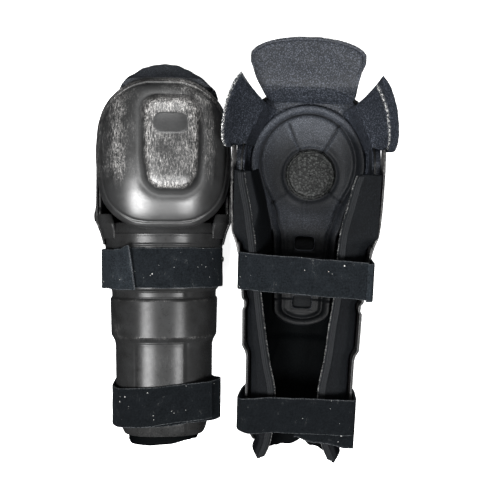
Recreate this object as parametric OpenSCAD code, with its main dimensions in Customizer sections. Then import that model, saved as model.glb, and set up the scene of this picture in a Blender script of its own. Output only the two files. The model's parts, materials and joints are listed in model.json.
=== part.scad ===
// A pair of hard-shell knee and shin guards lying side by side.
// The left guard lies face up on its straps, the right one is turned over on its knee cap.
// Both are the same guard. Inside a guard, X runs from side to side, Y from the ankle to the
// thigh and Z from the open rear to the front, and Z = 0 is near the shell's rear edges.

/* [Shells] */
// Half width of the knee cap at its widest
cap_half_w = 77.5; // [75:0.5:80]
// Thickness of the moulded shells
shell_t = 2.6; // [2:0.1:3]
// Height of the raised crown on the knee cap
crown_h = 9; // [5:0.5:12]
// Half width of the raised crown
crown_half_w = 29; // [24:1:34]
// Sideways offset of the crown from the middle of the cap
crown_x = 7; // [0:1:9]
// Radius of the knee pivot rivets
pivot_r = 4; // [3:0.5:5]
// Radial running clearance of the knee cup on its rivets
pivot_gap = 0.05; // [0.02:0.01:0.1]

/* [Straps] */
// Width of the elastic straps
strap_w = 44; // [38:1:46]
// Thickness of the elastic straps
strap_t = 2.4; // [1.8:0.1:2.6]
// Place of the upper strap's middle along the guard
upper_strap_y = 214; // [212:0.5:216]
// Place of the lower strap's middle along the guard
lower_strap_y = 56; // [54:0.5:58]
// Slant of the lower strap's front run, as rise over width
lower_slant = 0.085; // [0:0.005:0.1]

/* [Soft parts] */
// Thickness of the shin liner foam
liner_t = 7; // [5:0.5:8]
// Length of the thigh flap beyond the knee cup
flap_len = 58; // [50:1:60]
// Radius of the round disc in the middle of the knee pad
disc_r = 27.5; // [24:0.5:30]

/* [How the pair lies] */
// Roll of the left guard towards the right one, in degrees
left_roll = 5; // [5]
// Pitch of the right guard, resting on its cap and its ankle end, in degrees
right_pitch = 9.7; // [9.7]
// Roll of the right guard towards the left one, in degrees
right_roll = 3; // [3]
// Turn of the right guard on the floor, in degrees
right_turn = 2.4; // [2.4]
// How far the right guard's rear edges spread under its own weight
right_spread = 3.5; // [0:0.5:4]

/* [Hidden] */
SIDES = ["left", "right"];
PIECES = [
    "shin_shell", "knee_cup", "knee_cap", "pivot_rivets", "cap_rivets", "strap_rivets",
    "shin_liner", "ankle_pad", "side_pad_inner", "side_pad_outer",
    "side_binding_inner", "side_binding_outer", "cup_liner", "knee_pad", "knee_disc",
    "pad_tongue", "link_strap", "thigh_flap", "wing_inner", "wing_outer",
    "upper_strap_front", "upper_strap_rear", "upper_strap_end", "upper_hook_patch",
    "lower_strap_front", "lower_strap_rear", "lower_strap_end", "lower_hook_patch"
];

$fn = 48;
// where each guard's ankle end stands in the pair's frame
left_at = [-90, -232.3, 8];
right_at = [65.5, -242.3, 63.9];
// folds of the soft parts at rest: the left guard lies on its flap and wings
left_flap_fold = 75;
left_wing_fold = 78;
// the knee pivot's place: along the guard and from the rear to the front
pivot_y = 272;
pivot_z = 45;
// the round disc's place on the knee pad
disc_x = -6;
disc_y = 322;
// roundness of the shin section: 2 is an ellipse, more is squarer
box = 2.6;
// the rear run of a strap lies in the plane that the left guard stands on
rear_drop = left_at.z;

// Shin shell along its length: place, half width, front height, rear height
SHIN = [
    [19, 45, 57, 16], [24, 48, 61, 12], [32, 51, 63.5, 7], [77, 57, 69, 3], [122, 57.5, 73.5, 3],
    [128, 59, 74.5, 3], [134, 62.5, 79, 3], [176, 63.5, 82, 3], [179, 61.5, 79.5, 3],
    [186, 62, 80.5, 3], [189, 64.5, 83.5, 3], [238, 67.5, 87, 3], [241, 68.5, 88, 3],
    [252, 70.5, 88.5, 3]
];
// Bell of the shin shell that runs up inside the knee cup
BELL = [[250, 70.2, 88.4, 3], [256, 69, 88, 3], [264, 67.4, 86.6, 3]];
// Ear of the shin shell: place, half width at its rear edge, rear edge, front edge
EAR = [
    [244, 69.5, 3, 46], [252, 73, 3, 50], [262, 80.6, 3, 54], [272, 82.2, 4, 55],
    [300, 83.8, 5, 46], [334, 85, 7, 41], [346, 84.8, 13, 35], [353, 84.4, 19, 28]
];
// Knee cap: place, half width as a share, rim height, crest height
CAP = [
    [257, 0.2, 90, 91.5], [259, 0.37, 88, 94], [264, 0.52, 83, 97.5], [273.5, 0.7, 72, 102],
    [288, 0.845, 60, 105.5], [300, 0.915, 55, 107], [315, 0.965, 53, 108], [341, 1, 52, 108.5],
    [370, 0.985, 53, 108], [390, 0.94, 57, 106], [402, 0.865, 64, 103], [412, 0.72, 73, 99],
    [420, 0.53, 82, 92], [424.6, 0.3, 86, 87.5]
];
// Rear edge of the knee cup's side walls
CUP_EDGE = [[300, 23], [338, 24], [350, 33], [360, 46], [404, 70], [412, 72]];
// Knee pad's half width and the tongue's below it
PAD = [
    [266, 42], [274, 44], [290, 52], [310, 61.5], [335, 66], [358, 62.5], [380, 50], [394, 33],
    [402, 14]
];
TONGUE = [
    [144, 10], [147, 19], [154, 28], [164, 32], [176, 33], [179, 33], [186, 33.5], [189, 33.5],
    [200, 34], [250, 37], [261, 40]
];
// Side pad's free rear edge: place, distance from the middle, height
PAD_EDGE = [
    [-6, 37, 14], [4, 35, 12], [40, 30, 10], [70, 30, 9], [160, 43, 8], [210, 50, 8], [250, 55, 9],
    [300, 58, 12], [330, 59, 20]
];
PAD_PLACES = [-6, 4, 19, 24, 32, 77, 122, 128, 134, 160, 176, 179, 186, 189, 210, 250, 290, 330];
// Wing's free edge at rest on the right guard, with the share along its root
WING = [
    [0, 82, 358, 25], [0.2, 92, 362, 9], [0.45, 95.5, 375, 2], [0.7, 93, 400, 3],
    [0.88, 84, 428, 13], [1, 77, 438, 20]
];
wing_root = [[72.5, 359, 39], [51, 404, 64]];
wing_t = 3.6;
// Thigh flap: share of its length, half width
FLAP = [[0, 55], [0.3, 60], [0.56, 66], [0.68, 64], [0.83, 53], [0.94, 35], [1, 14]];
flap_y = 427;
flap_z = 74;
flap_t = 5;

// ---- helpers
function span(a, b, n) = [for (i = [0:n - 1]) a + (b - a) * i / (n - 1)];
function mix(a, b, t) = a + (b - a) * t;
function col(tab, y, c) = lookup(y, [for (r = tab) [r[0], r[c]]]);
function spow(x, p) = sign(x) * pow(abs(x), p);
function near_table(tab, y) = [for (c = [1:3]) col(tab, y, c)];
// one point of a C-shaped section, at angle a from one rear edge over the front to the other
function on_section(dims, y, a, inset) =
    let (c = spow(cos(a), 2 / box), s = pow(max(sin(a), 0), 2 / box))
    [
        c * (dims[0] - inset) + sign(c) * $spread * (1 - s),
        y,
        mix(dims[2], dims[1] - inset, s)
    ];
// height of the C-shaped section over a point beside its middle
function over_section(dims, x, inset) =
    mix(dims[2], dims[1] - inset, pow(max(1 - pow(abs(x) / (dims[0] - inset), box), 0), 1 / box));
function cap_w(y) = cap_half_w * col(CAP, y, 1);
function crown_rise(y, x) =
    let (
        dx = abs(x - crown_x) - crown_half_w + (y < 330 ? (330 - y) * 0.16 : 0),
        dy = max(302 - y, y - 396),
        d = max(dx, dy)
    )
    crown_h * min(max(0.5 - d / 8, 0), 1);
// outside height of the knee cap, or of a surface that lies lower by drop
function cap_z(y, x, drop, crown = 1) =
    let (s = min(abs(x) / cap_w(y), 1))
    mix(col(CAP, y, 2), col(CAP, y, 3), pow(1 - pow(s, 2.6), 0.45)) - drop + crown * crown_rise(y, x);
// outside of a shell's ear at one height
function ear_x(y, z) =
    let (rear = col(EAR, y, 2), front = col(EAR, y, 3), t = (z - rear) / (front - rear))
    col(EAR, y, 1) + 2 * $spread * (1 - t) * min(max((y - 244) / 40, 0), 1)
        + $spread * (1 - min(max((y - 244) / 40, 0), 1)) - t * min(max((y - 240) / 30, 0), 1) * 3;

// closed solid between two grids of points that have the same rows and columns: the upper grid
// is on the side that its columns and rows turn to by the right-hand rule
module skin(upper, lower) {
    n = len(upper);
    m = len(upper[0]);
    all = n * m;
    points = concat([for (r = upper) each r], [for (r = lower) each r]);
    quads = concat(
        [for (i = [0:n - 2], j = [0:m - 2]) let (p = i * m + j) [p + m, p + m + 1, p + 1, p]],
        [for (i = [0:n - 2], j = [0:m - 2]) let (p = all + i * m + j) [p, p + 1, p + m + 1, p + m]],
        [for (i = [0:n - 2]) let (p = i * m) [p, p + all, p + m + all, p + m]],
        [for (i = [0:n - 2]) let (p = i * m + m - 1) [p + m, p + m + all, p + all, p]],
        [for (j = [0:m - 2]) [j, j + 1, j + 1 + all, j + all]],
        [for (j = [0:m - 2]) let (p = (n - 1) * m + j) [p, p + all, p + 1 + all, p + 1]]
    );
    polyhedron(points, [for (q = quads) each [[q[0], q[1], q[2]], [q[0], q[2], q[3]]]]);
}

// plate over rows of [place, half width], between two height functions: its columns crowd
// towards its sides
module plate(rows, cols, top, bottom) {
    shares = [for (a = span(-90, 90, cols)) sin(a)];
    skin(
        [for (r = rows) [for (s = shares) [s * r[1], r[0], top(r[0], s * r[1])]]],
        [for (r = rows) [for (s = shares) [s * r[1], r[0], bottom(r[0], s * r[1])]]]
    );
}

// C-shaped trough along a table of stations
module trough(tab, inset, t, from, to, cols)
    skin(
        [for (r = tab) [for (a = span(to, from, cols))
            on_section([r[1], r[2], r[3]], r[0], a, inset)]],
        [for (r = tab) [for (a = span(to, from, cols))
            on_section([r[1], r[2], r[3]], r[0], a, inset + t)]]
    );

module on_guard(side) {
    if (side == "left") {
        $spread = 0;
        $flap_fold = left_flap_fold;
        $wing_fold = left_wing_fold;
        translate(left_at) rotate([0, left_roll, 0]) children();
    } else {
        $spread = right_spread;
        $flap_fold = 0;
        $wing_fold = 0;
        translate(right_at)
            rotate([0, 0, -right_turn]) rotate([0, -right_roll, 0])
            rotate([right_pitch, 0, 0]) rotate([0, 180, 0]) children();
    }
}

module pivot_bore(r) translate([-100, pivot_y, pivot_z]) rotate([0, 90, 0]) cylinder(h = 200, r = r);

// ---- hard parts
module ear_wall()
    skin(
        [for (r = EAR) [for (z = span(r[2], r[3], 4)) [ear_x(r[0], z) - shell_t, r[0], z]]],
        [for (r = EAR) [for (z = span(r[2], r[3], 4)) [ear_x(r[0], z), r[0], z]]]
    );

module shin_shell() color("#202124") difference() {
    union() {
        trough(SHIN, 0, shell_t, 0, 180, 17);
        trough(BELL, 0, shell_t, 36, 144, 11);
        ear_wall();
        mirror([1, 0, 0]) ear_wall();
    }
    pivot_bore(pivot_r);
}

// rounded lug that carries the knee cup on its pivot
module cup_lug() {
    lug_x = 71.6;
    translate([lug_x, pivot_y, pivot_z]) rotate([0, 90, 0]) cylinder(h = shell_t, r = 11);
    translate([lug_x, pivot_y, pivot_z - 11]) cube([shell_t, 52, 16]);
}

module cup_wall() {
    rows = [306, 318, 330, 345, 355, 370, 390, 404];
    function heights(y) = span(col(CUP_EDGE, y, 1), cap_z(y, cap_w(y) - 2.4, 4.4, 0), 3);
    skin(
        [for (y = rows) [for (z = heights(y)) [cap_w(y) - 4.6, y, z]]],
        [for (y = rows) [for (z = heights(y)) [cap_w(y) - 2.4, y, z]]]
    );
}

module knee_cup() color("#17181a") difference() {
    cup_rows = [for (y = [271, 280, 288, 300, 315, 341, 362, 382, 396, 406, 414]) [y, cap_w(y) - 2]];
    union() {
        plate(cup_rows, 15, function(y, x) cap_z(y, x, 4.2, 0), function(y, x) cap_z(y, x, 6.6, 0));
        cup_wall();
        mirror([1, 0, 0]) cup_wall();
        cup_lug();
        mirror([1, 0, 0]) cup_lug();
    }
    pivot_bore(pivot_r + pivot_gap);
}

module knee_cap() color("#26272a") {
    rows = [
        257, 259, 264, 273.5, 288, 296, 300, 306, 315, 328, 341, 355, 370, 383, 390, 393, 399,
        402, 412, 420, 424.6
    ];
    plate([for (y = rows) [y, cap_w(y)]], 25,
        function(y, x) cap_z(y, x, 0), function(y, x) cap_z(y, x, 2.8));
}

module pivot_rivets() color("#7d8085") for (s = [-1, 1]) scale([s, 1, 1]) {
    head_x = ear_x(pivot_y, pivot_z) + 0.6;
    translate([70, pivot_y, pivot_z]) rotate([0, 90, 0]) cylinder(h = head_x - 70, r = pivot_r);
    translate([head_x, pivot_y, pivot_z]) rotate([0, 90, 0]) cylinder(h = 1.8, r1 = 6.5, r2 = 4.5);
    translate([69.6, pivot_y, pivot_z]) rotate([0, 90, 0]) cylinder(h = 1.4, r = 6.5);
}

// blind rivets moulded under the cap that hold it on the cup
module cap_rivets() color("#15161a") for (x = [-50, 50], y = [312, 366])
    translate([x, y, cap_z(y, x, 7.2, 0)]) cylinder(h = 5.4, r = 3.2);

// rivets that hold each strap's fixed end on the shell's side
module strap_rivets() color("#7d8085") for (y = [upper_strap_y, lower_strap_y], a = [9.5, 17.5]) {
    p = on_section(near_table(SHIN, y), y, a, 0);
    translate([p.x - 1.6, y + 8, p.z]) rotate([0, 90, 0]) cylinder(h = 7.2, r = 3.5);
}

// ---- soft parts
module shin_liner() color("#2b2d31")
    trough([for (r = SHIN) if (r[0] > 24 && r[0] < 250) r], shell_t + 0.4, liner_t, 28, 152, 13);

module ankle_pad() color("#33353a")
    trough([[-4, 42, 47, 14], [2, 44, 52, 12], [17, 44.5, 55, 12]], 0, liner_t, 38, 142, 11);

module side_pad(s) color("#34363b") scale([s, 1, 1]) {
    rows = [for (y = PAD_PLACES)
        let (
            inset = shell_t + 1 + max(col(SHIN, y, 1) - 67, 0),
            upper = on_section(near_table(SHIN, y), y, 21, inset),
            side = on_section(near_table(SHIN, y), y, 9, inset)
        )
        [
            [upper.x, y, upper.z], [side.x, y, side.z],
            [mix(side.x, col(PAD_EDGE, y, 1), 0.35), y, 11],
            [col(PAD_EDGE, y, 1), y, col(PAD_EDGE, y, 2)]
        ]];
    skin(
        [for (r = rows) [for (k = [0:3]) r[k] + [k < 2 ? 0 : -1, 0, k < 2 ? 0 : -4.5]]],
        [for (r = rows) [for (k = [0:3]) r[k] + [k < 3 ? -5 : -1, 0, k < 2 ? 0 : 1.5]]]
    );
}

// bound tape along a side pad's free edge
module side_binding(s) color("#3c3e44") scale([s, 1, 1]) {
    rows = [for (y = PAD_PLACES) [col(PAD_EDGE, y, 1) - 1.7, y, col(PAD_EDGE, y, 2) - 5.6]];
    skin(
        [for (r = rows) [r + [-5, 0, 7.6], r + [-2.5, 0, 8.8], r + [-0.4, 0, 7.9]]],
        [for (r = rows) [r + [-5, 0, 0.4], r + [-2.5, 0, -1.2], r + [-0.2, 0, 0]]]
    );
}

module cup_liner() color("#2f3136") {
    rows = [for (y = [276, 290, 305, 320, 341, 362, 382, 396, 408, 416]) [y, cap_w(y) - 7]];
    plate(rows, 13, function(y, x) cap_z(y, x, 8, 0), function(y, x) cap_z(y, x, 11, 0));
}

module knee_pad() color("#26282b")
    plate(PAD, 13, function(y, x) cap_z(y, x, 11.6, 0), function(y, x) cap_z(y, x, 20, 0));

module knee_disc() color("#303237") translate([disc_x, 0, 0])
    plate([for (a = span(-84, 84, 13)) [disc_y + disc_r * sin(a), disc_r * cos(a)]], 11,
        function(y, x) cap_z(y, x + disc_x, 20.5, 0),
        function(y, x)
            let (share = norm([x, y - disc_y]) / disc_r)
            cap_z(y, x + disc_x, 22.2, 0) - 3.2 * pow(max(1 - share * share, 0), 0.5));

module pad_tongue() color("#26282b") difference() {
    d = shell_t + liner_t + 3.8;
    plate(TONGUE, 9,
        function(y, x) over_section(near_table(SHIN, y), x, d),
        function(y, x) over_section(near_table(SHIN, y), x, d + 5.4));
    for (y = [174, 243]) translate([-12, y - 8.5, 40]) cube([24, 17, 50]);
}

module link_strap() color("#3d4046")
    plate([for (y = [163, 176, 179, 186, 189, 215, 238, 249]) [y, 11]], 5,
        function(y, x) over_section(near_table(SHIN, y), x, shell_t + liner_t + 1.4),
        function(y, x) over_section(near_table(SHIN, y), x, shell_t + liner_t + 3));

module thigh_flap() color("#33353a") translate([0, flap_y - 2, flap_z]) rotate([-$flap_fold, 0, 0])
    plate([for (r = FLAP) [2 + r[0] * flap_len, r[1]]], 9,
        function(y, x) flap_t / 2 - 3 * pow(x / 66, 2), function(y, x) -flap_t / 2 - 3 * pow(x / 66, 2));

// points on a wing's mean surface, from its root to its free edge
function wing_rows() = [for (r = WING)
    let (
        a = mix(wing_root[0], wing_root[1], r[0]),
        b = [r[1], r[2], r[3]]
    )
    [for (t = [0.04, 0.35, 0.7, 1]) mix(a, b, t) + 2.5 * sin(180 * t) * [0.8, 0, 0.6]]];

module wing(s) color("#34363b") scale([s, 1, 1]) {
    d = wing_root[1] - wing_root[0];
    rows = wing_rows();
    half = wing_t / 2 * [0.83, 0.03, 0.55];
    translate(wing_root[0]) rotate(a = $wing_fold, v = d) translate(-wing_root[0]) skin(
        [for (r = rows) [for (p = r) p + half]],
        [for (r = rows) [for (p = r) p - half]]
    );
}

// ---- straps
// band over the front of the shell between two angles, standing off it
module band(y, slant, off, t, from, to, cols, foot = false, w = strap_w) {
    function at(a, k, d) =
        let (
            v = y + (k - 0.5) * w,
            p = on_section(near_table(SHIN, max(v, 24)), v, a, -d)
        )
        [p.x, v + slant * p.x, p.z];
    function footed(k, d) = let (p = at(0, k, d)) [p.x, p.y, -1];
    angles = span(to, from, cols);
    function row(k, d) = concat([for (a = angles) at(a, k, d)], foot ? [footed(k, d)] : []);
    skin([for (k = [0:3]) row(k / 3, off + t)], [for (k = [0:3]) row(k / 3, off)]);
}

// flat run behind the leg, in the plane that the left guard stands on
module rear_run(y) {
    half = on_section(near_table(SHIN, y), y, 0, 0).x;
    rotate([0, -left_roll, 0])
        translate([-half - 1, y - strap_w / 2, -rear_drop]) cube([2 * half - 0.5, strap_w, strap_t]);
}

// loose end of a strap: up the outer side from its fold, then over the front run
module closing_end(y, slant, to, cols) {
    off = 4.4;
    function low(k, d, z) =
        let (
            v = y + (k - 0.5) * strap_w,
            p = on_section(near_table(SHIN, max(v, 24)), v, 180, -d)
        )
        [p.x, v + slant * p.x, z];
    function over(a, k, d) =
        let (
            v = y + (k - 0.5) * strap_w,
            p = on_section(near_table(SHIN, max(v, 24)), v, a, -d)
        )
        [p.x, v + slant * p.x, p.z];
    function row(k, d) = concat(
        [low(k, d, -12.5), low(k, d, -5)],
        [for (a = span(180, to, cols)) over(a, k, d)]
    );
    skin([for (k = [0:3]) row(k / 3, off)], [for (k = [0:3]) row(k / 3, off + strap_t)]);
}

module upper_strap_front() color("#24262b") band(upper_strap_y, 0, 0.6, strap_t, 0, 140, 15, true);
module upper_strap_rear() color("#24262b") rear_run(upper_strap_y);
module upper_strap_end() color("#2a2c31") closing_end(upper_strap_y, 0, 116, 9);
module upper_hook_patch() color("#121315")
    band(upper_strap_y, 0, 3.3, 0.9, 118, 138, 4, false, strap_w - 6);

module lower_strap_front() color("#24262b")
    band(lower_strap_y, lower_slant, 1, strap_t, 0, 144, 15, true);
module lower_strap_rear() color("#24262b") rear_run(lower_strap_y);
module lower_strap_end() color("#24262b") closing_end(lower_strap_y, lower_slant, 54, 13);
module lower_hook_patch() color("#121315")
    band(lower_strap_y, lower_slant, 3.6, 0.5, 56, 92, 5, false, strap_w - 6);

// a node is drawn on its own guard
for (side = SIDES) on_guard(side) {
    shin_shell();
    knee_cup();
    knee_cap();
    pivot_rivets();
    cap_rivets();
    strap_rivets();
    shin_liner();
    ankle_pad();
    side_pad(1);
    side_pad(-1);
    side_binding(1);
    side_binding(-1);
    cup_liner();
    knee_pad();
    knee_disc();
    pad_tongue();
    link_strap();
    thigh_flap();
    wing(1);
    wing(-1);
    upper_strap_front();
    upper_strap_rear();
    upper_strap_end();
    upper_hook_patch();
    lower_strap_front();
    lower_strap_rear();
    lower_strap_end();
    lower_hook_patch();
}
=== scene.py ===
"""A pair of hard-shell knee and shin guards on a pale floor.

Each guard is built in its own frame, in millimetres: X runs from side to side, Y from the ankle to
the thigh and Z from the open rear to the front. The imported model's joints say where it lies.
"""

import json
import math

import bmesh
import bpy
import numpy as np
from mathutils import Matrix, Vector


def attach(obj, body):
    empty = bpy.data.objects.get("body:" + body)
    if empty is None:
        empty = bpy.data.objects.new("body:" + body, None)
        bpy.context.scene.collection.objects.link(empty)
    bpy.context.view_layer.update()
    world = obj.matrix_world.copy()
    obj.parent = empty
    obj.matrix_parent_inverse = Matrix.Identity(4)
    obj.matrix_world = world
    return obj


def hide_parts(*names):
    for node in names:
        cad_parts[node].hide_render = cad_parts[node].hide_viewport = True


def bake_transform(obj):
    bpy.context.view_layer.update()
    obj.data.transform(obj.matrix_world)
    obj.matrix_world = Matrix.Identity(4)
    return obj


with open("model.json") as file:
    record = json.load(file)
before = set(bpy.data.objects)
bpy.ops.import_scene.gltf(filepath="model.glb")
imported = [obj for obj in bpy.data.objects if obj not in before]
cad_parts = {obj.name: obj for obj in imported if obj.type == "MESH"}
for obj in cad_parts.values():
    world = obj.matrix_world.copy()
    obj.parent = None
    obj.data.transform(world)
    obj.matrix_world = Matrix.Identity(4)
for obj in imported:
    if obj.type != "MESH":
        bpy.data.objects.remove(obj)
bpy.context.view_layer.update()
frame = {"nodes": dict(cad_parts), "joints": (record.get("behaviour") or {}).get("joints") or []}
joints = {j["name"]: j for j in frame["joints"]}

# ---- sizes in millimetres, as in the CAD model
MM = 0.001
CAP_HALF_W = 77.5
SHELL_T = 2.6
CROWN_H = 9
CROWN_X, CROWN_Y = 8.5, 349
CROWN_HALF_W, CROWN_HALF_L, CROWN_ROUND = 30, 50, 15
PATCH_X, PATCH_Y = 7.5, 371
STRAP_W = 44
STRAP_T = 2.4
LOWER_SLANT = 0.085
LINER_T = 7
FLAP_LEN = 58
FLAP_T = 5
WING_T = 3.6
DISC_R = 29
DISC_X, DISC_Y = -3.5, 322
SLOTS_Y = (174, 243)
PIVOT_Y, PIVOT_Z = 272, 45
LUG_R = 11
FLAP_HINGE_Y, FLAP_Z = 425, 74
ROUNDNESS = 2.6
LEFT_ROLL = 5
REAR_DROP = 8
STRAP_Y = {"upper": 214, "lower": 56}
SPREAD = {"left": 0.0, "right": 3.5}
FLAP_FOLD = {"left": 75, "right": 0}
WING_FOLD = {"left": 78, "right": 0}
PAD_END = {"left": 22, "right": -2}
STRAP_BULGE = {"left": 12.5, "right": 8}

# place, half width, front height, rear height
SHIN = [
    (19, 47, 57, 16), (24, 49.5, 61, 12), (32, 52, 63.5, 7), (77, 57, 69, 3), (122, 57.5, 73.5, 3),
    (128, 59, 74.5, 3), (134, 62.5, 79, 3), (176, 63.5, 82, 3), (179, 61.5, 79.5, 3),
    (186, 62, 80.5, 3), (189, 64.7, 83.5, 3), (215, 67, 85, 3), (236, 69.4, 85.6, 3),
    (241, 70.4, 86.6, 3), (252, 72.2, 88.8, 3),
]
BELL = [(248, 71.4, 88.3, 3), (256, 70, 88, 3), (264, 68, 86.6, 3)]
# place, half width at the rear edge, rear edge, front edge
EAR = [
    (238, 70, 3, 44), (252, 73.2, 3, 50), (262, 77, 3, 54), (272, 77.9, 4, 54),
    (286, 78.4, 4.5, 49), (300, 78.8, 5, 41.5), (315, 79.2, 6, 35.5), (334, 79.6, 8, 29.5),
    (346, 79.6, 12, 26), (354, 79.4, 13, 24), (358, 79.2, 16, 21.5),
]
# place, half width as a share, rim height, crest height
CAP = [
    (257, 0.24, 88, 89.5), (259, 0.42, 86, 91.5), (264, 0.575, 80, 94.5),
    (273.5, 0.745, 70.5, 98.7), (288, 0.885, 60, 102.9), (300, 0.94, 55, 105.5),
    (315, 0.975, 53, 107.4), (341, 1, 52, 108.5), (370, 0.975, 53, 108), (390, 0.9, 57, 106),
    (402, 0.8, 64, 103), (412, 0.65, 73, 99), (420, 0.46, 82, 92), (424.6, 0.26, 86, 87.5),
]
CUP_EDGE = [(300, 23), (338, 24), (350, 33), (360, 46), (404, 70), (412, 72)]
# knee pad and its tongue: place, half width, between the round ends
PAD = [
    (150, 32.5), (176, 33), (200, 34), (250, 37), (261, 40), (266, 42), (274, 44), (290, 52),
    (310, 61.5), (335, 66), (403, 66),
]
# side pad's bound edge on the inner and the outer side: place, half width, height
PAD_EDGE = {
    1: [
        (-6, 42, 13), (4, 37, 12), (40, 31, 10), (74, 30, 9), (117, 38, 8), (161, 45.5, 7),
        (190, 49.5, 7), (243, 57, 5.8), (288, 64, 4.9), (323, 71.5, 4.7), (332, 72.5, 4.7),
    ],
    -1: [
        (-6, 44, 13), (4, 38, 12), (40, 28, 10), (78, 25.5, 9), (125, 31.5, 8), (159, 34.5, 7.5),
        (195, 38.5, 7), (259, 41, 5.5), (298, 49, 4.9), (324, 55, 4.7), (332, 58, 4.7),
    ],
}
# wing's free edge: share along the root, then the point
WING = [
    (0, 83, 355, 27), (0.15, 91, 356, 14), (0.3, 95, 365, 5), (0.45, 95.5, 375, 2),
    (0.7, 93, 400, 3),
    (0.88, 84, 428, 13), (1, 77, 438, 20),
]
WING_ROOT = np.array([[72.5, 359, 39], [51, 404, 64]], float)
FLAP = [
    (-0.42, 42), (-0.3, 50), (-0.1, 55), (0.1, 59), (0.3, 62.5), (0.5, 66), (0.62, 66),
    (0.74, 61.5),
    (0.86, 50), (0.95, 33), (1, 12),
]
# how far the folded flap stands out past its hinge: side position, distance
FOLDED_FLAP = [
    (-53, -18), (-52, -13), (-46, -4), (-31, 4.5), (-20, 10), (-8, 12), (13, 11.6), (27, 7.6),
    (37, 2),
    (47, -4), (54, -9), (60, -13.5), (62.5, -19),
]


# ---- numbers
def linear(rows, at, c, soft=0.0):
    """One column of a table, with its corners rounded over soft on each side."""
    x, v = [r[0] for r in rows], [r[c] for r in rows]
    taps = [(-1, 0.1), (-0.5, 0.22), (0, 0.36), (0.5, 0.22), (1, 0.1)]
    return sum(w * np.interp(np.asarray(at, float) + k * soft, x, v) for k, w in taps)


def curve(rows, at, c):
    """Smooth curve through one column of a table, without overshoot."""
    x = np.array([r[0] for r in rows], float)
    v = np.array([r[c] for r in rows], float)
    h = np.diff(x)
    d = np.diff(v) / h
    same = d[:-1] * d[1:] > 0
    safe = np.where(d == 0, 1.0, d)
    w1, w2 = 2 * h[1:] + h[:-1], h[1:] + 2 * h[:-1]
    slope = np.zeros_like(v)
    slope[1:-1] = np.where(same, (w1 + w2) / (w1 / safe[:-1] + w2 / safe[1:]), 0)
    slope[0], slope[-1] = d[0], d[-1]
    at = np.clip(np.asarray(at, float), x[0], x[-1])
    i = np.clip(np.searchsorted(x, at) - 1, 0, len(h) - 1)
    t = (at - x[i]) / h[i]
    return (
        v[i] * (1 + 2 * t) * (1 - t) ** 2 + slope[i] * h[i] * t * (1 - t) ** 2
        + v[i + 1] * t * t * (3 - 2 * t) + slope[i + 1] * h[i] * t * t * (t - 1)
    )


def grid(rows, columns):
    return np.meshgrid(rows, columns, indexing="ij")


def xyz(*parts):
    return np.stack(parts, -1)


def mix(a, b, t):
    return a + (b - a) * t


def ramp(lo, hi, v):
    """0 below lo and 1 above hi, with smooth ends. lo may be above hi."""
    t = np.clip((np.asarray(v, float) - lo) / (hi - lo), 0, 1)
    return t * t * (3 - 2 * t)


def bump(centre, width, v):
    return np.exp(-(((v - centre) / width) ** 2))


def ripple(a, b, seed=0.0):
    """Soft, uneven waves between about -1 and 1, over two lengths in waves."""
    return (
        np.sin(6.28 * a + 1.7 * np.sin(4.1 * b + seed) + seed)
        + 0.6 * np.sin(11.3 * b + 2.1 * np.sin(5.2 * a + 2 * seed) + 1.3 * seed)
        + 0.4 * np.sin(17.7 * a - 9.1 * b + 3.1 * seed)
    ) / 2


def turn(axis, degrees):
    """Rotation matrix for column vectors."""
    axis = np.array(axis, float) / np.linalg.norm(axis)
    a = math.radians(degrees)
    k = np.array([[0, -axis[2], axis[1]], [axis[2], 0, -axis[0]], [-axis[1], axis[0], 0]])
    return np.eye(3) + math.sin(a) * k + (1 - math.cos(a)) * (k @ k)


def from_outline(x, y, outline):
    """Distance of each point from a closed outline."""
    ends = np.roll(outline, -1, axis=0)
    points = xyz(x, y)
    best = np.full(x.shape, 1e9)
    for p, q in zip(outline, ends):
        along = q - p
        t = np.clip(((points - p) @ along) / max(along @ along, 1e-9), 0, 1)
        best = np.minimum(best, np.linalg.norm(points - p - t[..., None] * along, axis=-1))
    return best


def width_outline(places, widths):
    right = xyz(widths, places)
    return np.concatenate([right, right[::-1] * [-1, 1]])


# ---- a guard's place in the frame
class Guard:
    def __init__(self, side):
        pivot, strap = joints[side + "_knee_pivot"], joints[side + "_upper_strap_open"]
        x, y = -np.array(pivot["axis"]), -np.array(strap["axis"])
        self.side = side
        self.axes = np.array([x, y, np.cross(x, y)])
        local_pivot = np.array([0, PIVOT_Y, PIVOT_Z]) * MM
        self.origin = np.array(pivot["pos_m"]) - local_pivot @ self.axes
        self.spread = SPREAD[side]

    def world(self, points):
        """Points of the guard's own frame in millimetres, as points of the shared one in metres."""
        return self.origin + np.asarray(points, float) * MM @ self.axes

    def body(self, name):
        return f"{self.side}_{name}"


# ---- meshes
def piece(guard, name, parts, material, masks=None):
    """Mesh object from (vertices, faces) parts in a guard's own frame."""
    verts = np.concatenate([p[0] for p in parts])
    faces, start = [], 0
    for v, f in parts:
        faces += (np.asarray(f) + start).tolist()
        start += len(v)
    mesh = bpy.data.meshes.new(f"{guard.side}_{name}")
    mesh.from_pydata(guard.world(verts).tolist(), [], faces)
    bm = bmesh.new()
    bm.from_mesh(mesh)
    bmesh.ops.recalc_face_normals(bm, faces=bm.faces)
    bm.to_mesh(mesh)
    bm.free()
    mesh.polygons.foreach_set("use_smooth", np.ones(len(mesh.polygons), bool))
    place = mesh.attributes.new("place", "FLOAT_VECTOR", "POINT")
    place.data.foreach_set("vector", (verts * MM).astype(np.float32).ravel())
    for key, values in (masks or {}).items():
        layer = mesh.attributes.new(key, "FLOAT", "POINT")
        layer.data.foreach_set("value", np.asarray(values, np.float32).ravel())
    mesh.materials.append(material)
    obj = bpy.data.objects.new(f"{guard.side}_{name}_look", mesh)
    bpy.context.scene.collection.objects.link(obj)
    return obj


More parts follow.
